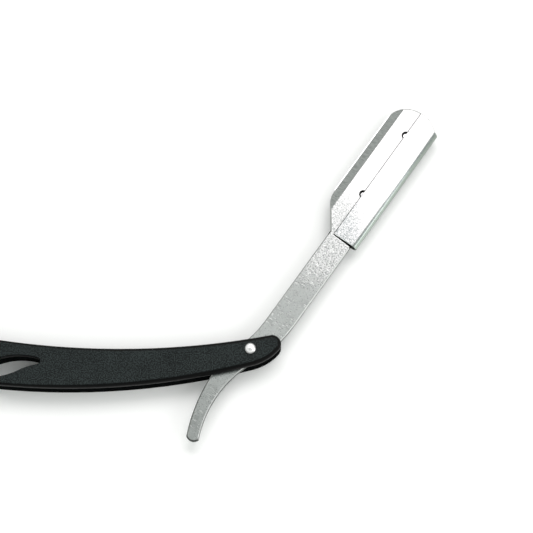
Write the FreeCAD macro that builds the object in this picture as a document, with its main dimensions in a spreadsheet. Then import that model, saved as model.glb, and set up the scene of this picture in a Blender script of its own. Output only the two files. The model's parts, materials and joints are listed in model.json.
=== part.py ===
import FreeCAD, Part
import math
import os
import Sketcher
from FreeCAD import Placement, Rotation, Vector

# A folding razor with a holder for half blades, lying open on its back scale.
# The origin is where the pivot's axis meets the plane that the razor rests on. +Z points up
# through the pivot, and the handle runs along -X. The arm and all that it carries are drawn
# in the arm's own frame, X along the arm to its tip and Y to its cutting edge, and turned.

# alias, value in mm or degrees, meaning
SIZES = [
    ("scale_thickness", 2.5, "thickness of each plastic scale"),
    ("blade_gap", 4.2, "space between the scales"),
    ("belly_radius", 269.6, "long convex lower edge of the handle"),
    ("back_radius", 294.8, "long hollow upper edge of the handle"),
    ("chin_radius", 19.2, "lower edge where it rises to the nose"),
    ("nose_radius", 3.35, "nose in front of the pivot"),
    ("butt_radius", 9.8, "rounded rear end"),
    ("butt_low_x", -116.5, "rear end meets the belly"),
    ("butt_low_y", -9.72, ""),
    ("chin_x", 0.13, "belly meets the chin"),
    ("chin_y", -6.15, ""),
    ("nose_low_x", 10.45, "chin meets the nose"),
    ("nose_low_y", -0.1, ""),
    ("nose_top_x", 7.27, "nose meets the back"),
    ("nose_top_y", 5.34, ""),
    ("butt_top_x", -120.5, "back meets the rear end"),
    ("butt_top_y", 9.25, ""),
    ("front_round", 0.8, "rounding of the front scale's outer edges"),
    ("nose_round", 1.5, "wider rounding at the nose and chin"),
    ("back_round", 0.4, "rounding of the back scale's outer edges"),
    ("window_x", -89.5, "centre of the wave-shaped window"),
    ("window_y", -6.5, ""),
    ("window_arch_radius", 24.2, "outer arch of the window"),
    ("window_hollow_radius", 22.2, "hollow side of the window"),
    ("window_end_radius", 1.2, "its narrow ends"),
    ("window_tip_x", 12.6, "arch meets the end, from the window's centre"),
    ("window_tip_y", 2.94, ""),
    ("window_heel_x", 12.2, "end meets the hollow"),
    ("window_heel_y", 0.75, ""),
    ("window_turn_x", 5.2, "hollow turns into the opposite arch"),
    ("window_turn_y", -1.6, ""),
    ("window_round", 0.3, "rounding of the window's edges"),
    ("pivot_shaft", 1.5, "pivot rivet's radius"),
    ("pivot_head", 1.95, "its domed head's radius"),
    ("pivot_dome", 2.91, "curve of the dome, centred on the rivet's axis"),
    ("rear_shaft", 1.2, "rear rivets' radius"),
    ("rear_head", 1.95, ""),
    ("rear_dome", 2.91, ""),
    ("head_side", 0.35, "straight side of a domed head"),
    ("head_rise", 0.75, "dome above that side"),
    ("running_clearance", 0.05, "between a shaft and its hole"),
    ("burr_radius", 2.6, "burr washer under a peened end"),
    ("burr_thickness", 0.4, ""),
    ("peened_radius", 2.0, "peened end of a rivet"),
    ("peened_height", 0.45, ""),
    ("peened_depth", 0.1, "peened end lies this deep below the outer face"),
    ("seat_radius", 2.75, "seat of the burr washer"),
    ("rear_seat", 2.35, "the same for the rear rivets"),
    ("rear_burr", 2.2, ""),
    ("rear_peened", 1.6, ""),
    ("boss_radius", 3.6, "boss on the back scale that carries the arm"),
    ("washer_radius", 3.6, "thrust washers"),
    ("washer_thickness", 0.28, ""),
    ("washer_play", 0.02, "end play of the arm on its washers"),
    ("arm_clearance", 0.3, "arm's top to the front scale"),
    ("arm_thickness", 1.9, ""),
    ("arm_angle", 54.94, "arm's direction from +X"),
    ("rear_first_x", -120.6, "rear rivets' places"),
    ("rear_first_y", 0.2, ""),
    ("rear_second_x", -118.3, ""),
    ("rear_second_y", -5.4, ""),
    ("spacer_front_x", -117.4, "rear spacer, low enough to let the clip slide past"),
    ("spacer_toe_x", -115.6, ""),
    ("spacer_back_x", -123.9, ""),
    ("spacer_heel_x", -123.0, ""),
    ("spacer_top_y", 2.9, ""),
    ("spacer_toe_y", -8.9, ""),
    ("spacer_heel_y", -5.6, ""),
    ("spacer_round", 1.2, ""),
    ("shank_edge_x", 12.0, "shank's straight edges begin"),
    ("shank_edge_y", 2.1, "edge on the cutting side"),
    ("shank_spine_x", 17.0, ""),
    ("shank_spine_y", -7.75, "edge on the spine side"),
    ("tang_mid_x", -0.3, "tang's edge turns"),
    ("tang_mid_y", 4.25, ""),
    ("tang_radius", 36.3, ""),
    ("tail_crest_x", -12.6, "tail's outer edge"),
    ("tail_crest_y", 6.4, ""),
    ("tail_outer_radius", 63.9, ""),
    ("tail_end_x", -39.0, "tail's rounded end"),
    ("tail_end_y", 0.66, ""),
    ("tail_end_radius", 2.8, ""),
    ("tail_inner_x", -37.6, ""),
    ("tail_inner_y", -3.78, ""),
    ("tail_inner_radius", 41.4, "tail's inner edge"),
    ("tang_spine_x", -3.2, "inner edge turns into the shank"),
    ("tang_spine_y", -3.46, ""),
    ("tang_spine_radius", 49.7, ""),
    ("flare_x", 55.0, "head flares out of the shank"),
    ("shoulder_low_x", 64.08, "flare meets the rounded shoulder"),
    ("shoulder_low_y", 8.45, ""),
    ("shoulder_x", 68.66, "shoulder meets the long edge"),
    ("shoulder_radius", 8.0, ""),
    ("plate_edge_y", 9.9, "long edge beside the blade"),
    ("corner_x", 106.62, "long edge meets the tip's corner"),
    ("corner_low_x", 109.64, "corner meets the tip"),
    ("corner_low_y", 8.88, ""),
    ("corner_radius", 5.0, ""),
    ("tip_radius", 11.15, "round tip, centred on the far pin"),
    ("tip_spine_x", 110.92, "tip meets the spine edge"),
    ("bevel_y", 6.6, "bevel begins"),
    ("bevel_far", 12.0, "a point of the bevel's slope beyond the edge"),
    ("bevel_far_height", -0.72, ""),
    ("arm_chamfer", 0.45, "chamfered edges of the arm"),
    ("pin_first_x", 73.9, "locating pins, 29 mm apart"),
    ("pin_second_x", 102.9, ""),
    ("pin_radius", 1.0, ""),
    ("pin_hole_radius", 1.65, "holes in the plate round the pins"),
    ("pin_depth", 0.72, "pin's end lies this deep below the arm's top"),
    ("recess_x", 54.2, "step down to the clip's track"),
    ("recess_y", 0.4, ""),
    ("recess_low_x", 53.38, "the same beyond the spine edge, for the step is slanted"),
    ("groove_x", 54.9, "groove at the foot of the step, under the clip's end"),
    ("groove_depth", 1.2, ""),
    ("clip_x", 54.5, "clip's lower end"),
    ("clip_y", 0.28, "clip's long free edge"),
    ("clip_wall", 0.6, ""),
    ("clip_play", 0.05, "clearance of the sliding clip"),
    ("fold_y", -8.0, "fold's axis"),
    ("fold_outer", 1.825, "fold's outer radius, half of the clip's height"),
    ("clip_length", 59.5, "before its tip is rounded"),
    ("clip_tip_radius", 11.0, ""),
    ("clip_tip_spine_x", 110.45, "round tip meets the fold"),
    ("clip_tip_side_x", 113.48, ""),
    ("clip_tip_side_y", 3.0, ""),
    ("fold_end_x", 109.4, "fold's slanted end"),
    ("clip_break", 0.1, "broken edges of the clip"),
    ("blade_thickness", 0.1, ""),
    ("blade_low_x", 66.9, "half blade, 43 mm long"),
    ("blade_high_x", 109.9, ""),
    ("blade_edge_low_x", 69.7, "sharpened stretch"),
    ("blade_edge_high_x", 107.1, ""),
    ("blade_edge_y", 10.3, "cutting edge"),
    ("blade_end_y", 7.1, ""),
    ("blade_back_y", -0.7, "back edge, where the whole blade was snapped"),
    ("blade_slot_x", 2.0, "half slot reaches this far past each pin"),
    ("blade_slot_y", -0.1, "bottom of the half slot"),
    ("blade_notch", 1.35, "notches for the pins"),
    ("blade_grind", 0.8, "width of the ground edge"),
    ("blade_grind_drop", 0.07, ""),
    ("leaf_thickness", 1.0, "back leaf"),
    ("leaf_x", 55.8, ""),
    ("leaf_spine_y", -7.6, ""),
    ("leaf_edge_y", 7.7, ""),
    ("leaf_root_y", 1.5, ""),
    ("leaf_flare_x", 57.0, ""),
    ("leaf_shoulder_x", 65.9, ""),
    ("leaf_tip_radius", 10.6, ""),
    ("leaf_tip_spine_x", 110.29, ""),
    ("leaf_tip_edge_x", 110.185, ""),
    ("leaf_bevel", 0.7, ""),
    ("leaf_rivet_x", 59.3, "flush rivets through the leaf's root"),
    ("leaf_rivet_first_y", -1.7, ""),
    ("leaf_rivet_second_y", -5.7, ""),
    ("leaf_rivet_radius", 0.9, ""),
    ("cut_margin", 3.0, "cuts reach this far past the material"),
]
size = {alias: number for alias, number, meaning in SIZES}

doc = FreeCAD.newDocument("razor")
sheet = doc.addObject("Spreadsheet::Sheet", "Sizes")
nodes = []


def fill_sheet():
    for row, (alias, number, meaning) in enumerate(SIZES, start=1):
        sheet.set(f"A{row}", meaning or alias)
        sheet.set(f"B{row}", str(number))
        sheet.setAlias(f"B{row}", alias)
    doc.recompute()


def linked(formula):
    """The formula, a sum of words, with each alias written as a cell of the sheet."""
    words = []
    for word in formula.split():
        sign = "-" if word[0] == "-" and word[1:] in size else ""
        name = word[len(sign):]
        words.append(f"{sign}Sizes.{name}" if name in size else word)
    return " ".join(words)


def number_of(formula):
    """The value of the same sum."""
    total = 0.0
    sign = 1
    for word in formula.split():
        if word in ("+", "-"):
            sign = 1 if word == "+" else -1
            continue
        if word[0] == "-" and word[1:] in size:
            total -= sign * size[word[1:]]
        else:
            total += sign * (size[word] if word in size else float(word))
    return total


def bind(thing, **formulas):
    for name, formula in formulas.items():
        thing.setExpression(name, linked(formula))


# ---- the frames that pieces are placed in ----


def place_on_handle(thing, height="0", across_x="0", across_y="0"):
    bind(thing, **{
        "Placement.Base.x": across_x,
        "Placement.Base.y": across_y,
        "Placement.Base.z": height,
    })


ARM_TOP = "scale_thickness + blade_gap - arm_clearance"


def place_on_arm(thing, *layers):
    """Puts a piece in the arm's frame, its own base below the arm's top by these layers."""
    thing.Placement = Placement(Vector(), Rotation(Vector(0, 0, 1), size["arm_angle"]))
    bind(thing, **{
        "Placement.Rotation.Angle": "arm_angle",
        "Placement.Base.z": " - ".join((ARM_TOP, *layers)),
    })


# ---- bodies, sketches and features ----


def new_body(name):
    body = doc.addObject("PartDesign::Body", name)
    body.Label = name
    return body


def new_sketch(body, name, plane="XY_Plane", lift=None):
    sketch = body.newObject("Sketcher::SketchObject", name)
    origin_plane = [f for f in body.Origin.OriginFeatures if f.Role == plane][0]
    sketch.AttachmentSupport = [(origin_plane, "")]
    sketch.MapMode = "FlatFace"
    if lift:
        bind(sketch, **{"AttachmentOffset.Base.z": lift})
    return sketch


def hold(sketch, kind, items, formula):
    """Adds one dimension to a sketch and ties it to the sheet."""
    index = sketch.addConstraint(Sketcher.Constraint(kind, *items, number_of(formula)))
    sketch.setExpression(f"Constraints[{index}]", linked(formula))


def pin_point(sketch, items, point):
    across, up = point
    if across == "0":
        sketch.addConstraint(Sketcher.Constraint("PointOnObject", *items, -2))
    else:
        hold(sketch, "DistanceX", (-1, 1, *items), across)
    if up == "0":
        sketch.addConstraint(Sketcher.Constraint("PointOnObject", *items, -1))
    else:
        hold(sketch, "DistanceY", (-1, 1, *items), up)


def add_outline(sketch, path):
    """A closed outline. Each stretch is (start point, radius, bulge): the radius is None for a
    straight line, and bulge is 1 where the arc swells to the right of the way along it."""
    count = len(path)
    corners = [Vector(number_of(p[0][0]), number_of(p[0][1]), 0) for p in path]
    first = sketch.GeometryCount
    for i, (point, radius, bulge) in enumerate(path):
        start = corners[i]
        end = corners[(i + 1) % count]
        if radius is None:
            sketch.addGeometry(Part.LineSegment(start, end))
            continue
        chord = end - start
        reach = number_of(radius)
        sagitta = reach - math.sqrt(reach**2 - (chord.Length / 2) ** 2)
        side = Vector(chord.y, -chord.x, 0).normalize() * sagitta * bulge
        sketch.addGeometry(Part.Arc(start, (start + end) / 2 + side, end))
    for i, (point, radius, bulge) in enumerate(path):
        # an arc always runs anticlockwise, so one that swells to the left begins at its far end
        begins, ends = (2, 1) if radius and bulge < 0 else (1, 2)
        following = path[(i + 1) % count]
        next_begins = 2 if following[1] and following[2] < 0 else 1
        after = first + (i + 1) % count
        sketch.addConstraint(Sketcher.Constraint("Coincident", first + i, ends, after, next_begins))
        pin_point(sketch, (first + i, begins), point)
        if radius:
            hold(sketch, "Radius", (first + i,), radius)


def add_polygon(sketch, points):
    add_outline(sketch, [(point, None, 0) for point in points])


def add_circle(sketch, radius, centre=("0", "0")):
    at = Vector(number_of(centre[0]), number_of(centre[1]), 0)
    index = sketch.addGeometry(Part.Circle(at, Vector(0, 0, 1), number_of(radius)))
    pin_point(sketch, (index, 3), centre)
    hold(sketch, "Radius", (index,), radius)


def pad(body, sketch, length):
    feature = body.newObject("PartDesign::Pad", sketch.Name + "_pad")
    feature.Profile = sketch
    bind(feature, Length=length)
    return feature


def pocket(body, sketch, depth=None, upward=False):
    """Cuts down from the sketch, or up if upward, by the depth, or through everything."""
    feature = body.newObject("PartDesign::Pocket", sketch.Name + "_pocket")
    feature.Profile = sketch
    feature.Reversed = upward
    if depth:
        bind(feature, Length=depth)
    else:
        feature.Type = "ThroughAll"
    return feature


def wedge(body, name, corners):
    """Cuts away what lies in a triangle of the YZ plane, along the whole of X."""
    sketch = new_sketch(body, name, "YZ_Plane")
    add_polygon(sketch, corners)
    feature = pocket(body, sketch)
    feature.Midplane = True
    return feature


def revolve(body, sketch):
    feature = body.newObject("PartDesign::Revolution", sketch.Name + "_turned")
    feature.Profile = sketch
    feature.ReferenceAxis = (sketch, ["V_Axis"])
    feature.Angle = 360.0
    return feature


def edge_numbers(feature, chosen):
    """Names of the feature's edges for which chosen(edge) is true."""
    doc.recompute()
    edges = feature.Shape.Edges
    return [f"Edge{i}" for i, edge in enumerate(edges, start=1) if chosen(edge)]


def level(edge, height):
    return all(abs(v.Z - height) < 1e-5 for v in edge.Vertexes)


def dress(body, kind, base, chosen, amount):
    """A Fillet or Chamfer on the chosen edges of the body's last feature."""
    names = edge_numbers(base, chosen)
    feature = body.newObject(f"PartDesign::{kind}", f"{body.Name}_{kind.lower()}_{len(body.Group)}")
    feature.Base = (base, names)
    bind(feature, **{"Radius" if kind == "Fillet" else "Size": amount})
    return feature


def group(name, members):
    """Several like pieces in one node, as separate solids."""
    compound = doc.addObject("Part::Compound", name)
    compound.Label = name
    compound.Links = members
    nodes.append(compound)


# ---- handle ----

PIVOT_HOLE = "pivot_shaft + running_clearance"
REAR_HOLE = "rear_shaft + running_clearance"
BELOW_BURR = "peened_depth + peened_height + burr_thickness"
REAR_PLACES = [("rear_first_x", "rear_first_y"), ("rear_second_x", "rear_second_y")]
HANDLE_OUTLINE = [
    (("butt_low_x", "butt_low_y"), "belly_radius", 1),
    (("chin_x", "chin_y"), "chin_radius", 1),
    (("nose_low_x", "nose_low_y"), "nose_radius", 1),
    (("nose_top_x", "nose_top_y"), "back_radius", -1),
    (("butt_top_x", "butt_top_y"), "butt_radius", 1),
]
# half of the window, from its centre; the other half is the same turned by 180 degrees
WINDOW_HALF = [
    ("window_tip_x", "window_tip_y", "window_arch_radius", 1),
    ("-window_turn_x", "-window_turn_y", "window_hollow_radius", -1),
    ("-window_heel_x", "-window_heel_y", "window_end_radius", 1),
]


def turned(alias):
    return alias[1:] if alias.startswith("-") else "-" + alias


def scale_blank(name):
    """A scale with its window cut through, lying on the height 0."""
    body = new_body(name)
    outline = new_sketch(body, name + "_outline")
    add_outline(outline, HANDLE_OUTLINE)
    pad(body, outline, "scale_thickness")
    window = new_sketch(body, name + "_window", lift="scale_thickness")
    bind(window, **{"AttachmentOffset.Base.x": "window_x", "AttachmentOffset.Base.y": "window_y"})
    half = [((x, y), radius, bulge) for x, y, radius, bulge in WINDOW_HALF]
    other = [((turned(x), turned(y)), radius, bulge) for x, y, radius, bulge in WINDOW_HALF]
    add_outline(window, half + other)
    pocket(body, window)
    return body


def drill(body, name, lift, radius_pivot, radius_rear, depth=None, upward=False):
    """The pivot's hole and both rear rivets' holes, or their seats."""
    holes = new_sketch(body, name, lift=lift)
    add_circle(holes, radius_pivot)
    for place in REAR_PLACES:
        add_circle(holes, radius_rear, place)
    return pocket(body, holes, depth, upward)


def window_side(edge):
    """Is the edge part of the window's rim?"""
    middle = edge.valueAt((edge.FirstParameter + edge.LastParameter) / 2)
    reach = Vector(middle.x - size["window_x"], middle.y - size["window_y"], 0).Length
    return reach < size["window_tip_x"] + 2 * size["window_end_radius"]


def outer_round(edge, rear_round, nose_round):
    """Rounding radii at the edge's two ends, which may differ between rear and nose."""
    rear_end = size["butt_low_x"] + size["butt_radius"]
    at_rear = [vertex.X < rear_end for vertex in (edge.firstVertex(), edge.lastVertex())]
    return [size[rear_round] if rear else size[nose_round] for rear in at_rear]


def round_scale(body, outer_height, height, rear_round, nose_round):
    """Rounds the scale's outer edges and its window's rim."""
    doc.recompute()
    rounded = []
    for i, edge in enumerate(body.Shape.Edges, start=1):
        if not level(edge, outer_height) or edge.Closed:
            continue
        if window_side(edge):
            rounded.append((i, size["window_round"], size["window_round"]))
        else:
            rounded.append((i, *outer_round(edge, rear_round, nose_round)))
    scale = doc.addObject("Part::Fillet", body.Name + "_rounded")
    scale.Base = body
    scale.Edges = rounded
    body.Label = body.Name + "_body"
    scale.Label = body.Name
    place_on_handle(scale, height)
    nodes.append(scale)


def front_scale():
    body = scale_blank("front_scale")
    drill(body, "front_holes", "scale_thickness", PIVOT_HOLE, REAR_HOLE)
    outside = size["scale_thickness"]
    round_scale(body, outside, "scale_thickness + blade_gap", "front_round", "nose_round")


def back_scale():
    body = scale_blank("back_scale")
    boss = new_sketch(body, "boss", lift="scale_thickness")
    add_circle(boss, "boss_radius")
    rise = "blade_gap - arm_clearance - arm_thickness - washer_play - washer_thickness"
    pad(body, boss, rise)
    drill(body, "back_holes", "scale_thickness + blade_gap", PIVOT_HOLE, REAR_HOLE)
    drill(body, "burr_seats", "0", "seat_radius", "rear_seat", BELOW_BURR, upward=True)
    round_scale(body, 0.0, "0", "back_round", "back_round")


def rear_spacer():
    body = new_body("rear_spacer")
    sketch = new_sketch(body, "spacer_outline")
    add_polygon(sketch, [
        ("spacer_toe_x", "spacer_toe_y"),
        ("spacer_front_x", "spacer_top_y"),
        ("spacer_back_x", "spacer_top_y"),
        ("spacer_heel_x", "spacer_heel_y"),
    ])
    block = pad(body, sketch, "blade_gap")
    dress(body, "Fillet", block, upright, "spacer_round")
    holes = new_sketch(body, "spacer_holes", lift="blade_gap")
    for place in REAR_PLACES:
        add_circle(holes, REAR_HOLE, place)
    pocket(body, holes)
    place_on_handle(body, "scale_thickness")
    nodes.append(body)


def upright(edge):
    a, b = edge.firstVertex().Point, edge.lastVertex().Point
    return abs(a.z - b.z) > 1.0 and (Vector(a.x, a.y, 0) - Vector(b.x, b.y, 0)).Length < 1e-6


def domed_rivet(name, shaft, head, dome, peened, place):
    """A rivet turned about its axis: peened end, shaft, and domed head on the front scale."""
    body = new_body(name)
    profile = new_sketch(body, name + "_profile", "XZ_Plane")
    under_head = "scale_thickness + blade_gap + scale_thickness"
    add_outline(profile, [
        (("0", "peened_depth"), None, 0),
        ((peened, "peened_depth"), None, 0),
        ((peened, "peened_depth + peened_height"), None, 0),
        ((shaft, "peened_depth + peened_height"), None, 0),
        ((shaft, under_head), None, 0),
        ((head, under_head), None, 0),
        ((head, under_head + " + head_side"), dome, 1),
        (("0", under_head + " + head_side + head_rise"), None, 0),
    ])
    revolve(body, profile)
    place_on_handle(body, "0", *place)
    return body


def ring(name, outer, inner, thickness, height, place=("0", "0")):
    body = new_body(name)
    sketch = new_sketch(body, name + "_ring")
    add_circle(sketch, outer)
    add_circle(sketch, inner)
    pad(body, sketch, thickness)
    place_on_handle(body, height, *place)
    return body


def handle_fasteners():
    pivot = domed_rivet("pivot_rivet", "pivot_shaft", "pivot_head", "pivot_dome", "peened_radius", ("0", "0"))
    nodes.append(pivot)
    rears = [
        domed_rivet(f"rear_rivet_{i}", "rear_shaft", "rear_head", "rear_dome", "rear_peened", place)
        for i, place in enumerate(REAR_PLACES, start=1)
    ]
    group("rear_rivets", rears)
    burr_height = "peened_depth + peened_height"
    nodes.append(ring("pivot_burr_washer", "burr_radius", PIVOT_HOLE, "burr_thickness", burr_height))
    burrs = [
        ring(f"rear_burr_{i}", "rear_burr", REAR_HOLE, "burr_thickness", burr_height, place)
        for i, place in enumerate(REAR_PLACES, start=1)
    ]
    group("rear_burr_washers", burrs)
    front = "scale_thickness + blade_gap - washer_thickness"
    nodes.append(ring("front_thrust_washer", "washer_radius", PIVOT_HOLE, "washer_thickness", front))
    back = ARM_TOP + " - arm_thickness - washer_play - washer_thickness"
    nodes.append(ring("back_thrust_washer", "washer_radius", PIVOT_HOLE, "washer_thickness", back))


# ---- arm: tail, tang, shank and holder plate in one stamping ----

PINS = ("pin_first_x", "pin_second_x")
LEAF_RIVETS = ("leaf_rivet_first_y", "leaf_rivet_second_y")
STACK = "arm_thickness + blade_thickness + leaf_thickness"
PAST_TIP = "pin_second_x + tip_radius + cut_margin"
PAST_SPINE = "shank_spine_y - cut_margin"


def holder_arm():
    body = new_body("holder_arm")
    outline = new_sketch(body, "arm_outline")
    add_outline(outline, [
        (("shank_edge_x", "shank_edge_y"), "tang_radius", -1),
        (("tang_mid_x", "tang_mid_y"), "tang_radius", 1),
        (("tail_crest_x", "tail_crest_y"), "tail_outer_radius", 1),
        (("tail_end_x", "tail_end_y"), "tail_end_radius", 1),
        (("tail_inner_x", "tail_inner_y"), "tail_inner_radius", -1),
        (("tang_spine_x", "tang_spine_y"), "tang_spine_radius", 1),
        (("shank_spine_x", "shank_spine_y"), None, 0),
        (("tip_spine_x", "shank_spine_y"), "tip_radius", 1),
        (("corner_low_x", "corner_low_y"), "corner_radius", 1),
        (("corner_x", "plate_edge_y"), None, 0),
        (("shoulder_x", "plate_edge_y"), "shoulder_radius", 1),
        (("shoulder_low_x", "shoulder_low_y"), None, 0),
        (("flare_x", "shank_edge_y"), None, 0),
    ])
    plate = pad(body, outline, "arm_thickness")
    dress(body, "Chamfer", plate, lambda edge: level(edge, size["arm_thickness"]), "arm_chamfer")
    wedge(body, "edge_bevel", [
        ("bevel_y", "arm_thickness"),
        ("bevel_far", "bevel_far_height"),
        ("bevel_far", "arm_thickness + cut_margin"),
    ])
    recess = new_sketch(body, "clip_recess", lift="arm_thickness")
    add_polygon(recess, [
        ("recess_low_x", PAST_SPINE),
        (PAST_TIP, PAST_SPINE),
        (PAST_TIP, "recess_y"),
        ("recess_x", "recess_y"),
    ])
    pocket(body, recess, "clip_wall + clip_play")
    groove = new_sketch(body, "stop_groove", lift="arm_thickness")
    add_polygon(groove, [
        ("recess_low_x", PAST_SPINE),
        ("groove_x", PAST_SPINE),
        ("groove_x", "recess_y"),
        ("recess_x", "recess_y"),
    ])
    pocket(body, groove, "groove_depth")
    holes = new_sketch(body, "arm_holes", lift="arm_thickness")
    add_circle(holes, PIVOT_HOLE)
    for x in PINS:
        add_circle(holes, "pin_hole_radius", (x, "0"))
    for y in LEAF_RIVETS:
        add_circle(holes, "leaf_rivet_radius", ("leaf_rivet_x", y))
    pocket(body, holes)
    place_on_arm(body, "arm_thickness")
    nodes.append(body)


def studs(name, radius, places, length):
    """Round studs standing on the leaf's back face, one solid each."""
    members = []
    for i, place in enumerate(places, start=1):
        body = new_body(f"{name}_{i}")
        sketch = new_sketch(body, f"{name}_{i}_circle")
        add_circle(sketch, radius, place)
        pad(body, sketch, length)
        place_on_arm(body, "arm_thickness", "blade_thickness", "leaf_thickness")
        members.append(body)
    group(name, members)


def back_leaf():
    body = new_body("back_leaf")
    outline = new_sketch(body, "leaf_outline")
    add_outline(outline, [
        (("leaf_x", "leaf_spine_y"), None, 0),
        (("leaf_tip_spine_x", "leaf_spine_y"), "leaf_tip_radius", 1),
        (("leaf_tip_edge_x", "leaf_edge_y"), None, 0),
        (("leaf_shoulder_x", "leaf_edge_y"), None, 0),
        (("leaf_flare_x", "leaf_root_y"), None, 0),
        (("leaf_x", "leaf_root_y"), None, 0),
    ])
    plate = pad(body, outline, "leaf_thickness")
    dress(body, "Chamfer", plate, leaf_long_edge, "leaf_bevel")
    holes = new_sketch(body, "leaf_holes", lift="leaf_thickness")
    for x in PINS:
        add_circle(holes, "pin_radius", (x, "0"))
    for y in LEAF_RIVETS:
        add_circle(holes, "leaf_rivet_radius", ("leaf_rivet_x", y))
    pocket(body, holes)
    place_on_arm(body, "arm_thickness", "blade_thickness", "leaf_thickness")
    nodes.append(body)


def leaf_long_edge(edge):
    """The lower edge of the leaf beside the blade."""
    beside_blade = all(abs(v.Y - size["leaf_edge_y"]) < 1e-5 for v in edge.Vertexes)
    return beside_blade and level(edge, 0.0)


def leaf_fasteners():
    pin_length = STACK + " - pin_depth"
    studs("locating_pins", "pin_radius", [(x, "0") for x in PINS], pin_length)
    rivet_length = STACK + " - clip_wall - clip_play"
    studs("leaf_rivets", "leaf_rivet_radius", [("leaf_rivet_x", y) for y in LEAF_RIVETS], rivet_length)


def half_blade():
    body = new_body("half_blade")
    outline = new_sketch(body, "blade_outline")
    add_polygon(outline, [
        ("blade_low_x", "blade_back_y"),
        ("pin_first_x - blade_slot_x", "blade_back_y"),
        ("pin_first_x - blade_slot_x", "blade_slot_y"),
        ("pin_second_x + blade_slot_x", "blade_slot_y"),
        ("pin_second_x + blade_slot_x", "blade_back_y"),
        ("blade_high_x", "blade_back_y"),
        ("blade_high_x", "blade_end_y"),
        ("blade_edge_high_x", "blade_end_y"),
        ("blade_edge_high_x", "blade_edge_y"),
        ("blade_edge_low_x", "blade_edge_y"),
        ("blade_edge_low_x", "blade_end_y"),
        ("blade_low_x", "blade_end_y"),
    ])
    pad(body, outline, "blade_thickness")
    notches = new_sketch(body, "blade_notches", lift="blade_thickness")
    for x in PINS:
        add_circle(notches, "blade_notch", (x, "0"))
    pocket(body, notches)
    near, far = "blade_edge_y - blade_grind", "blade_edge_y + blade_grind"
    wedge(body, "front_grind", [
        (near, "blade_thickness"),
        (far, "blade_thickness - blade_grind_drop"),
        (far, "blade_thickness + blade_grind"),
    ])
    wedge(body, "back_grind", [(near, "0"), (far, "-blade_grind"), (far, "blade_grind_drop")])
    place_on_arm(body, "arm_thickness", "blade_thickness")
    nodes.append(body)


def spine_clip():
    """A folded sheet that grips plate and leaf: two walls and a round fold along the spine."""
    body = new_body("spine_clip")
    height = "fold_outer + fold_outer"
    inner = "fold_outer - clip_wall"
    section = new_sketch(body, "clip_section", "YZ_Plane", lift="clip_x")
    add_outline(section, [
        (("fold_y", "0"), None, 0),
        (("clip_y", "0"), None, 0),
        (("clip_y", "clip_wall"), None, 0),
        (("fold_y", "clip_wall"), inner, -1),
        (("fold_y - fold_outer + clip_wall", "fold_outer"), inner, -1),
        (("fold_y", height + " - clip_wall"), None, 0),
        (("clip_y", height + " - clip_wall"), None, 0),
        (("clip_y", height), None, 0),
        (("fold_y", height), "fold_outer", 1),
        (("fold_y - fold_outer", "fold_outer"), "fold_outer", 1),
    ])
    pad(body, section, "clip_length")
    tip = new_sketch(body, "clip_tip", lift=height)
    beyond = "clip_x + clip_length + cut_margin"
    past_fold = "fold_y - cut_margin"
    add_outline(tip, [
        (("clip_tip_spine_x", "fold_y"), "clip_tip_radius", 1),
        (("clip_tip_side_x", "clip_tip_side_y"), None, 0),
        ((beyond, "clip_tip_side_y"), None, 0),
        ((beyond, past_fold), None, 0),
        (("fold_end_x", past_fold), None, 0),
    ])
    trimmed = pocket(body, tip)
    top = number_of(height)
    dress(body, "Chamfer", trimmed, lambda edge: level(edge, top), "clip_break")
    place_on_arm(body, "fold_outer", "fold_outer")
    nodes.append(body)


def write_parts():
    """Checks every object and sub-part, then writes each to its STEP file."""
    doc.recompute()
    for thing in doc.Objects:
        if {"Invalid", "Error"} & set(thing.State):
            raise RuntimeError(f"{thing.Name} did not build: {thing.State}")
    os.makedirs("parts", exist_ok=True)
    for node in nodes:
        shape = node.Shape
        if shape.isNull() or not shape.isValid() or not shape.Solids:
            raise RuntimeError(f"{node.Label} has no valid solid")
        shape.exportStep(f"parts/{node.Label}.step")
        box = shape.BoundBox
        print(f"{node.Label:22} {len(shape.Solids)} solid(s) {shape.Volume:9.2f} mm3"
              f"  z {box.ZMin:.2f} to {box.ZMax:.2f}")


fill_sheet()
front_scale()
back_scale()
rear_spacer()
handle_fasteners()
holder_arm()
back_leaf()
leaf_fasteners()
half_blade()
spine_clip()
write_parts()
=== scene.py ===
import json
import math

import bpy
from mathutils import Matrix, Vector

# The looks of a folding barber's razor that lies open on a white table. All lengths are in
# metres. The arm has its own directions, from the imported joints: X along it to the tip, Y
# across it to the cutting edge and Z up. Places along it are counted from the pivot, so that
# the tail's are negative.

MM = 0.001
BLACK = (0.0, 0.0, 0.0)
# Painted shade: a near-black colour for the gaps and holes where shade falls.
GAP_SHADE = (0.01, 0.01, 0.01)

# The holder plate, on the arm.
ARM_TOP = 6.4 * MM
PINS = (73.9 * MM, 102.9 * MM)
PIN_HOLE = 1.65 * MM

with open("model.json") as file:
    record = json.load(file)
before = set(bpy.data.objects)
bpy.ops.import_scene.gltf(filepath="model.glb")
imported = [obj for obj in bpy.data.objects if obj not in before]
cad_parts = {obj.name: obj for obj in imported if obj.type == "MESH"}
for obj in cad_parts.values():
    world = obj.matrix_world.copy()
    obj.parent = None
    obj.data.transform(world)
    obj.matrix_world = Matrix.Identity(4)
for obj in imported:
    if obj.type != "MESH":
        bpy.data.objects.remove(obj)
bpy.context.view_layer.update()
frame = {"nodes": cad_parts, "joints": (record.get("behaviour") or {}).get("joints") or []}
nodes = frame["nodes"]
joints = {joint["name"]: joint for joint in frame["joints"]}
along = Vector(joints["clip_slide"]["axis"])
arm_angle = math.atan2(along.y, along.x)


def enabled(sockets, name):
    """The socket of that name that the node's present settings use."""
    return [socket for socket in sockets if socket.name == name and socket.enabled][0]


def scaled(colour, factor):
    return tuple(factor * part for part in colour)


# ---- camera, table and light ----


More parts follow.
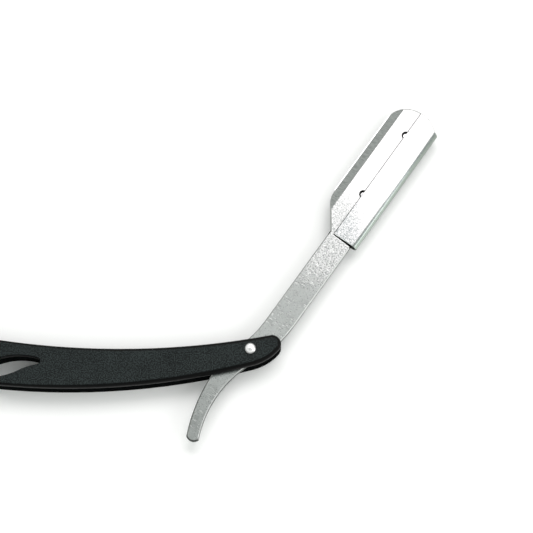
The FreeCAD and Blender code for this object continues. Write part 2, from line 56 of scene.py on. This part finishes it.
def add_camera():
    """Looks down at the razor from the side of its tail, 17 degrees from straight down."""
    tilt = math.radians(17)
    data = bpy.data.cameras.new("camera")
    data.sensor_width = 36
    data.lens = 101.3
    data.clip_start = 0.01
    camera = bpy.data.objects.new("camera", data)
    camera.location = (0.00589, -0.13086, 0.5391)
    camera.rotation_euler = (tilt, 0, 0)
    bpy.context.scene.collection.objects.link(camera)
    bpy.context.scene.camera = camera


def add_table():
    """A matt white table top, a hair below the razor."""
    reach = 3.0
    level = -0.02 * MM
    corners = [(x * reach, y * reach, level) for x, y in ((-1, -1), (1, -1), (1, 1), (-1, 1))]
    mesh = bpy.data.meshes.new("table")
    mesh.from_pydata(corners, [], [(0, 1, 2, 3)])
    table = bpy.data.objects.new("table", mesh)
    bpy.context.scene.collection.objects.link(table)
    material = bpy.data.materials.new("white_table")
    material.use_nodes = True
    shader = material.node_tree.nodes["Principled BSDF"]
    shader.inputs["Base Color"].default_value = (0.925, 0.93, 0.925, 1)
    shader.inputs["Roughness"].default_value = 0.9
    shader.inputs["Specular IOR Level"].default_value = 0.2
    mesh.materials.append(material)


def add_world(sides, overhead):
    """A white tent with a dimmer round patch straight above the razor. The patch's rim and
    core are given as the Z of a unit direction."""
    patch_rim = 0.84
    patch_core = 0.965
    world = bpy.data.worlds.new("tent")
    world.use_nodes = True
    tree = world.node_tree
    direction = tree.nodes.new("ShaderNodeTexCoord")
    parts = tree.nodes.new("ShaderNodeSeparateXYZ")
    patch = tree.nodes.new("ShaderNodeMapRange")
    patch.interpolation_type = "SMOOTHSTEP"
    patch.inputs["From Min"].default_value = patch_rim
    patch.inputs["From Max"].default_value = patch_core
    colour = tree.nodes.new("ShaderNodeMix")
    colour.data_type = "RGBA"
    enabled(colour.inputs, "A").default_value = (*sides, 1)
    enabled(colour.inputs, "B").default_value = (*overhead, 1)
    tree.links.new(direction.outputs["Generated"], parts.inputs["Vector"])
    tree.links.new(parts.outputs["Z"], patch.inputs["Value"])
    tree.links.new(patch.outputs["Result"], enabled(colour.inputs, "Factor"))
    tree.links.new(enabled(colour.outputs, "Result"), tree.nodes["Background"].inputs["Color"])
    bpy.context.scene.world = world


def add_panel(name, azimuth, elevation, distance, width, height, radiance, colour=(1, 1, 1)):
    """A soft rectangular light that faces the razor. Azimuth 0 is +Y, and positive is to +X."""
    data = bpy.data.lights.new(name, "AREA")
    data.shape = "RECTANGLE"
    data.size = width
    data.size_y = height
    data.energy = radiance * math.pi * width * height
    data.color = colour
    panel = bpy.data.objects.new(name, data)
    turn = math.radians(azimuth)
    rise = math.radians(elevation)
    level = math.cos(rise)
    way = Vector((math.sin(turn) * level, math.cos(turn) * level, math.sin(rise)))
    panel.location = way * distance
    panel.rotation_euler = (-way).to_track_quat("-Z", "Y").to_euler()
    panel.visible_camera = False
    bpy.context.scene.collection.objects.link(panel)


# ---- the building blocks of a material ----


class Shader:
    """A material's node tree, built by short calls."""

    def __init__(self, name, **sockets):
        self.material = bpy.data.materials.new(name)
        self.material.use_nodes = True
        self.tree = self.material.node_tree
        self.surface = self.tree.nodes["Principled BSDF"]
        self.coordinates = self.node("ShaderNodeTexCoord")
        self.set_surface(**sockets)

    def set_surface(self, **sockets):
        """Sets the surface's sockets, with _ for the spaces in their names."""
        for socket, value in sockets.items():
            self.feed(self.surface.inputs[socket.replace("_", " ")], value)

    def node(self, kind, settings=None, **inputs):
        made = self.tree.nodes.new(kind)
        for name, value in (settings or {}).items():
            setattr(made, name, value)
        for name, value in inputs.items():
            self.feed(made.inputs[name.replace("_", " ")], value)
        return made

    def feed(self, socket, value):
        if isinstance(value, bpy.types.NodeSocket):
            self.tree.links.new(value, socket)
        else:
            socket.default_value = value

    def place(self, stretch=(1, 1, 1), turn=0.0, source="Object"):
        """Object coordinates or normals, turned back by turn about Z and then stretched. With
        arm_angle as the turn they are in the arm's own directions."""
        turned = self.node("ShaderNodeMapping", {"vector_type": "POINT"})
        self.feed(turned.inputs["Vector"], self.coordinates.outputs[source])
        turned.inputs["Rotation"].default_value = (0, 0, -turn)
        stretched = self.node("ShaderNodeVectorMath", {"operation": "MULTIPLY"})
        self.feed(stretched.inputs[0], turned.outputs["Vector"])
        stretched.inputs[1].default_value = stretch
        return stretched.outputs["Vector"]

    def split(self, vector):
        return self.node("ShaderNodeSeparateXYZ", Vector=vector).outputs

    def slope(self, normal):
        """1 on level faces, up or down, and 0 on upright ones."""
        return self.math("ABSOLUTE", normal["Z"])

    def noise(self, vector, scale, detail, roughness):
        made = self.node("ShaderNodeTexNoise", Vector=vector, Scale=scale, Detail=detail,
                         Roughness=roughness, Distortion=0.0)
        return made.outputs["Fac"]

    def cells(self, vector, scale):
        made = self.node("ShaderNodeTexVoronoi", {"feature": "SMOOTH_F1"}, Vector=vector,
                         Scale=scale, Smoothness=0.4)
        return made.outputs["Distance"]

    def ramp(self, value, start, end, start_out=0.0, end_out=1.0):
        """Eases from start_out at start to end_out at end, and stays level beyond both."""
        made = self.node("ShaderNodeMapRange", {"clamp": True, "interpolation_type": "SMOOTHSTEP"})
        self.feed(made.inputs["Value"], value)
        made.inputs["From Min"].default_value = start
        made.inputs["From Max"].default_value = end
        made.inputs["To Min"].default_value = start_out
        made.inputs["To Max"].default_value = end_out
        return made.outputs["Result"]

    def math(self, operation, a, b=0.0):
        made = self.node("ShaderNodeMath", {"operation": operation})
        self.feed(made.inputs[0], a)
        self.feed(made.inputs[1], b)
        return made.outputs["Value"]

    def blend(self, a, share_a, b, share_b):
        """The sum of a and b by their shares."""
        part_a = self.math("MULTIPLY", a, share_a)
        part_b = self.math("MULTIPLY", b, share_b)
        return self.math("ADD", part_a, part_b)

    def mix(self, share, a, b):
        """Colour a where share is 0, and colour b where it is 1."""
        made = self.node("ShaderNodeMix", {"data_type": "RGBA"})
        self.feed(enabled(made.inputs, "Factor"), share)
        self.feed(enabled(made.inputs, "A"), (*a, 1) if isinstance(a, tuple) else a)
        self.feed(enabled(made.inputs, "B"), (*b, 1) if isinstance(b, tuple) else b)
        return enabled(made.outputs, "Result")

    def bump(self, height, strength, depth):
        made = self.node("ShaderNodeBump", Height=height, Strength=strength, Distance=depth)
        return made.outputs["Normal"]

    def near_pins(self, place):
        """1 within the plate's holes round the two locating pins, and 0 beyond their walls."""
        reaches = []
        for pin in PINS:
            lengthwise = self.math("POWER", self.math("SUBTRACT", place["X"], pin), 2.0)
            crosswise = self.math("POWER", place["Y"], 2.0)
            reaches.append(self.math("SQRT", self.math("ADD", lengthwise, crosswise)))
        nearest = self.math("MINIMUM", *reaches)
        return self.ramp(nearest, PIN_HOLE + 0.3 * MM, PIN_HOLE + 0.2 * MM)


# ---- plastic ----


def moulded_plastic(name, specular, rim_roughness, face, rim):
    """Black plastic with a fine leathery grain and pale dust on its flat faces, and a rounded rim
    without grain whose darker colour is painted shade."""
    look = Shader(name, Specular_IOR_Level=specular)
    spot = look.place()
    flat = look.ramp(look.slope(look.split(look.coordinates.outputs["Normal"])), 0.95, 0.999)

    grain = look.cells(spot, 1 / (0.6 * MM))
    fine = look.noise(spot, 1 / (0.3 * MM), 3.0, 0.65)
    height = look.math("MULTIPLY", look.blend(grain, 0.7, fine, 0.8), flat)

    dots = look.noise(spot, 1 / (0.42 * MM), 1.0, 0.5)
    clouds = look.noise(spot, 1 / (7 * MM), 3.0, 0.55)
    dust = look.ramp(look.blend(dots, 0.85, clouds, 0.15), 0.42, 0.6)
    dusty = look.mix(dust, scaled(face, 0.4), scaled(face, 1.75))

    look.set_surface(
        # The rim's darker colour is painted shade.
        Base_Color=look.mix(flat, rim, dusty),
        Roughness=look.ramp(flat, 0, 1, rim_roughness, 0.5),
        Normal=look.bump(height, 1.0, 0.06 * MM),
    )
    return look.material


def front_black():
    return moulded_plastic("front_black", specular=0.08, rim_roughness=0.45,
                           face=(0.015, 0.0192, 0.0192), rim=(0.001, 0.0012, 0.0012))


def shaded_back_black():
    """A shaded copy of the same plastic, for the pieces below the front scale: its darker colour is
    painted shade.
    """
    return moulded_plastic("shaded_back_black", specular=0.02, rim_roughness=0.95,
                           face=(0.004, 0.005, 0.005), rim=(0.0004, 0.0005, 0.0005))


# ---- the sheet steel of arm and clip ----


def speckled_face(look, place, grit, cloud, scratch, tint, flecks):
    """The flat faces: mottled and scuffed across, with painted light: painted shade makes them
    duller up the shank, and a painted reflection makes them white on the head and in flecks from
    the shank's middle on. The painted white is duller to the tip, where the face mirrors more
    light."""
    glare_below_head = (0.62, 0.62, 0.62)
    glare_beyond_tip = (0.4, 0.4, 0.4)
    scuffed = (0.8, 0.82, 0.8)

    face = look.mix(look.ramp(cloud, 0.42, 0.6, 0.0, 0.45), tint, scaled(tint, 0.62))
    pits = look.ramp(grit, 0.6, 0.4, 0.0, 0.08)
    face = look.mix(pits, face, BLACK)
    # Painted shade: the face grows duller up the shank.
    shade_up_shank = look.ramp(place["X"], 0.0, 50 * MM, 0.0, 0.29)
    face = look.mix(shade_up_shank, face, BLACK)

    # Painted reflection: flecks from the shank's middle on, and the whole head, are mixed towards
    # white.
    flecked = look.ramp(place["X"], 27 * MM, 44 * MM, 0.0, flecks)
    bright_grit = look.math("MULTIPLY", look.ramp(grit, 0.4, 0.62), flecked)
    spine_side = look.math("MULTIPLY", look.math("MINIMUM", place["Y"], 0.0), 1.3)
    head = look.ramp(look.math("SUBTRACT", place["X"], spine_side), 61 * MM, 82 * MM)
    to_tip = look.ramp(place["X"], 40 * MM, 120 * MM)
    white = look.mix(to_tip, glare_below_head, glare_beyond_tip)
    face = look.mix(look.math("ADD", bright_grit, head), face, white)

    worn_patch = look.ramp(cloud, 0.48, 0.56, 0.0, 0.65)
    scuffs = look.math("MULTIPLY", look.ramp(scratch, 0.54, 0.62), worn_patch)
    return look.mix(scuffs, face, scuffed)


def rounded_edge(look, place, normal, edge, shaded_edge):
    """The rounded edges in painted light: the colour edge is a painted reflection, dimmed by
    painted shade at the tail, on its very end and towards the head, and where the edges look to the
    tip or, before the head, to the cutting edge's side they take the darker colour of painted shade
    instead."""
    # Painted shade on the edge colour at the tail, on its very end and towards the head.
    tail = look.ramp(place["X"], 8 * MM, -4 * MM, 0.0, 0.25)
    colour = look.mix(tail, edge, BLACK)
    tail_end = look.ramp(place["X"], -36.5 * MM, -38.5 * MM, 0.0, 0.85)
    colour = look.mix(tail_end, colour, BLACK)
    to_head = look.ramp(place["X"], 55 * MM, 110 * MM, 0.0, 0.35)
    colour = look.mix(to_head, colour, BLACK)

    # Painted shade on edges that look to the tip or, before the head, to the cutting edge's side.
    before_head = look.ramp(place["X"], 76 * MM, 70 * MM)
    faded = look.math("MULTIPLY", normal["Y"], before_head)
    sideways = look.math("MINIMUM", normal["Y"], faded)
    facing_shade = look.ramp(look.math("ADD", normal["X"], sideways), 0.06, 0.25)
    return look.mix(facing_shade, colour, shaded_edge)


def ground_bevel(look, slope, scratch, tint, rest):
    """The ground bevel, finely streaked, and darker than the rest in painted shade."""
    ground = look.math("MULTIPLY", look.ramp(slope, 0.96, 0.93), look.ramp(slope, 0.8, 0.86))
    streaks = look.ramp(scratch, 0.35, 0.65, 0.6, 0.9)
    return look.mix(ground, rest, look.mix(streaks, BLACK, scaled(tint, 0.88)))


def shade_in_gaps(look, place, shaded_stretch, rest):
    """Painted shade, a near-black colour below the arm's top face where shade falls in the gaps: in
    the stretch between the two given places along the arm, short of the clip's fold, and in the
    holes round the pins."""
    after_start = look.ramp(place["X"], shaded_stretch[0] - 0.05 * MM, shaded_stretch[0])
    before_end = look.ramp(place["X"], shaded_stretch[1] + 0.05 * MM, shaded_stretch[1])
    inside_fold = look.ramp(place["Y"], -8.5 * MM, -8.3 * MM)
    stretch = look.math("MULTIPLY", look.math("MULTIPLY", after_start, before_end), inside_fold)
    gaps = look.math("MAXIMUM", stretch, look.near_pins(place))
    sunk = look.ramp(place["Z"], ARM_TOP - 0.04 * MM, ARM_TOP - 0.14 * MM)
    return look.mix(look.math("MULTIPLY", gaps, sunk), rest, GAP_SHADE)


def satin_steel(name, tint, flecks, edge, shaded_edge, edge_slope, side, side_slope, shaded_stretch):
    """Blasted sheet steel. Its edges, coloured in painted light, begin where the slope falls below
    edge_slope, and its sides, coloured in painted shade, where it falls below side_slope."""
    look = Shader(name, Metallic=1.0)
    spot = look.place(turn=arm_angle)
    place = look.split(spot)
    normal = look.split(look.place(turn=arm_angle, source="Normal"))
    slope = look.slope(normal)
    grit = look.noise(spot, 1 / (0.5 * MM), 2.0, 0.6)
    cloud = look.noise(spot, 1 / (4 * MM), 4.0, 0.62)
    scratch_stretch = (1 / (0.22 * MM), 1 / (2.5 * MM), 1 / (3 * MM))
    scratch = look.noise(look.place(scratch_stretch, arm_angle), 1.0, 2.0, 0.5)

    colour = speckled_face(look, place, grit, cloud, scratch, tint, flecks)
    rounded = rounded_edge(look, place, normal, edge, shaded_edge)
    # Painted light: the rounded edges get the painted reflection and shade of rounded_edge.
    colour = look.mix(look.ramp(slope, edge_slope, edge_slope - 0.06), colour, rounded)
    # Painted shade: the upright sides take the dark side colour.
    colour = look.mix(look.ramp(slope, side_slope, side_slope - 0.1), colour, side)
    colour = ground_bevel(look, slope, scratch, tint, colour)
    # Painted shade in the slot at the clip's end and in the holes round the pins.
    colour = shade_in_gaps(look, place, shaded_stretch, colour)

    look.set_surface(
        Base_Color=colour,
        Roughness=look.ramp(grit, 0.2, 0.8, 0.26, 0.34),
        Normal=look.bump(look.blend(grit, 0.2, scratch, 0.12), 1.0, 0.03 * MM),
    )
    return look.material


def arm_steel():
    return satin_steel(
        "arm_steel",
        tint=(0.455, 0.478, 0.465),
        flecks=0.78,
        # Painted light on the rounded edges: a bright painted highlight, and a darker painted shade
        # where they look away.
        edge=(0.65, 0.66, 0.65),
        shaded_edge=(0.3, 0.31, 0.3),
        edge_slope=0.997,
        # Painted shade: the upright sides nearly black.
        side=(0.03, 0.04, 0.032),
        side_slope=0.72,
        # The stretch of painted shade in the slot in front of the clip's lower end.
        shaded_stretch=(53.2 * MM, 54.95 * MM),
    )


def clip_steel():
    return satin_steel(
        "clip_steel",
        tint=(0.4, 0.435, 0.435),
        flecks=0.9,
        # Painted light on the rounded edges: the fold's grey-green painted reflection, and a
        # near-black painted shade where they look away.
        edge=(0.42, 0.475, 0.43),
        shaded_edge=(0.03, 0.03, 0.03),
        edge_slope=0.998,
        # Painted shade on the upright sides and the fold's far side.
        side=(0.08, 0.1, 0.085),
        side_slope=0.25,
        # The stretch of painted shade on the clip's lower end.
        shaded_stretch=(54.3 * MM, 54.56 * MM),
    )


# ---- the small metal parts and the blade ----


def polished_metal(name, tint, roughness, shaded_holes=False, rim=1.0):
    """Bright metal with faint marks. By the factor rim it is darker on a domed head's foot, as a
    painted reflection of the dark plastic round it, and it can get painted shade in the holes round
    the pins.
    """
    look = Shader(name, Metallic=1.0)
    marks = look.noise(look.place(), 1 / (0.5 * MM), 4.0, 0.7)
    colour = look.mix(look.ramp(marks, 0.3, 0.7), scaled(tint, 0.9), tint)
    slope = look.slope(look.split(look.coordinates.outputs["Normal"]))
    # Painted reflection: a domed head's foot is darkened by the factor rim.
    colour = look.mix(look.ramp(slope, 0.9, 0.78), colour, scaled(tint, rim))
    # Painted shade in the holes round the locating pins.
    if shaded_holes:
        hole_shade = look.near_pins(look.split(look.place(turn=arm_angle)))
        colour = look.mix(hole_shade, colour, GAP_SHADE)
    look.set_surface(
        Base_Color=colour,
        Roughness=look.ramp(marks, 0.3, 0.7, 0.8 * roughness, 1.3 * roughness),
        Normal=look.bump(marks, 0.3, 0.01 * MM),
    )
    return look.material


def rivet_steel():
    # The dome's foot is darkened as a painted reflection.
    return polished_metal("rivet_steel", tint=(0.95, 0.95, 0.95), roughness=0.3, rim=0.4)


def bright_steel():
    return polished_metal("bright_steel", tint=(0.42, 0.425, 0.425), roughness=0.2)


def blade_steel():
    # The blade gets painted shade where it shows in the holes round the pins.
    return polished_metal("blade_steel", tint=(0.5, 0.51, 0.51), roughness=0.15, shaded_holes=True)


def washer_brass():
    return polished_metal("washer_brass", tint=(0.71, 0.52, 0.26), roughness=0.3)


# ---- the CAD nodes ----


def paint(material, *names):
    for name in names:
        slots = nodes[name].data.materials
        for i in range(len(slots)):
            slots[i] = material


def break_edges(width, segments, name):
    """Rounds the sharp edges of a CAD node a little, as tumbling leaves them."""
    weld = nodes[name].modifiers.new("weld", "WELD")
    weld.merge_threshold = 0.001 * MM
    bevel = nodes[name].modifiers.new("broken_edges", "BEVEL")
    bevel.width = width
    bevel.segments = segments
    bevel.limit_method = "ANGLE"
    bevel.angle_limit = math.radians(35)
    bevel.harden_normals = True
    bevel.use_clamp_overlap = True


# ---- the scene ----

bpy.context.scene.view_settings.view_transform = "Standard"
add_camera()
add_table()
add_world(sides=(0.91, 0.93, 0.91), overhead=(0.44, 0.46, 0.45))
add_panel("key", azimuth=13, elevation=54, distance=1.2, width=1.1, height=0.6, radiance=3.3,
          colour=(1.02, 0.985, 1.0))
add_panel("side_card", azimuth=100, elevation=32, distance=1.3, width=0.9, height=0.6, radiance=2.3)

paint(front_black(), "front_scale")
# The back pieces take the plastic's painted-shade copy.
paint(shaded_back_black(), "back_scale", "rear_spacer")
paint(arm_steel(), "holder_arm", "back_leaf")
paint(clip_steel(), "spine_clip")
paint(rivet_steel(), "pivot_rivet", "rear_rivets")
paint(bright_steel(), "locating_pins", "leaf_rivets")
paint(blade_steel(), "half_blade")
paint(washer_brass(), "pivot_burr_washer", "rear_burr_washers", "front_thrust_washer",
      "back_thrust_washer")

break_edges(0.28 * MM, 4, "holder_arm")
break_edges(0.2 * MM, 2, "spine_clip")
break_edges(0.05 * MM, 2, "back_leaf")
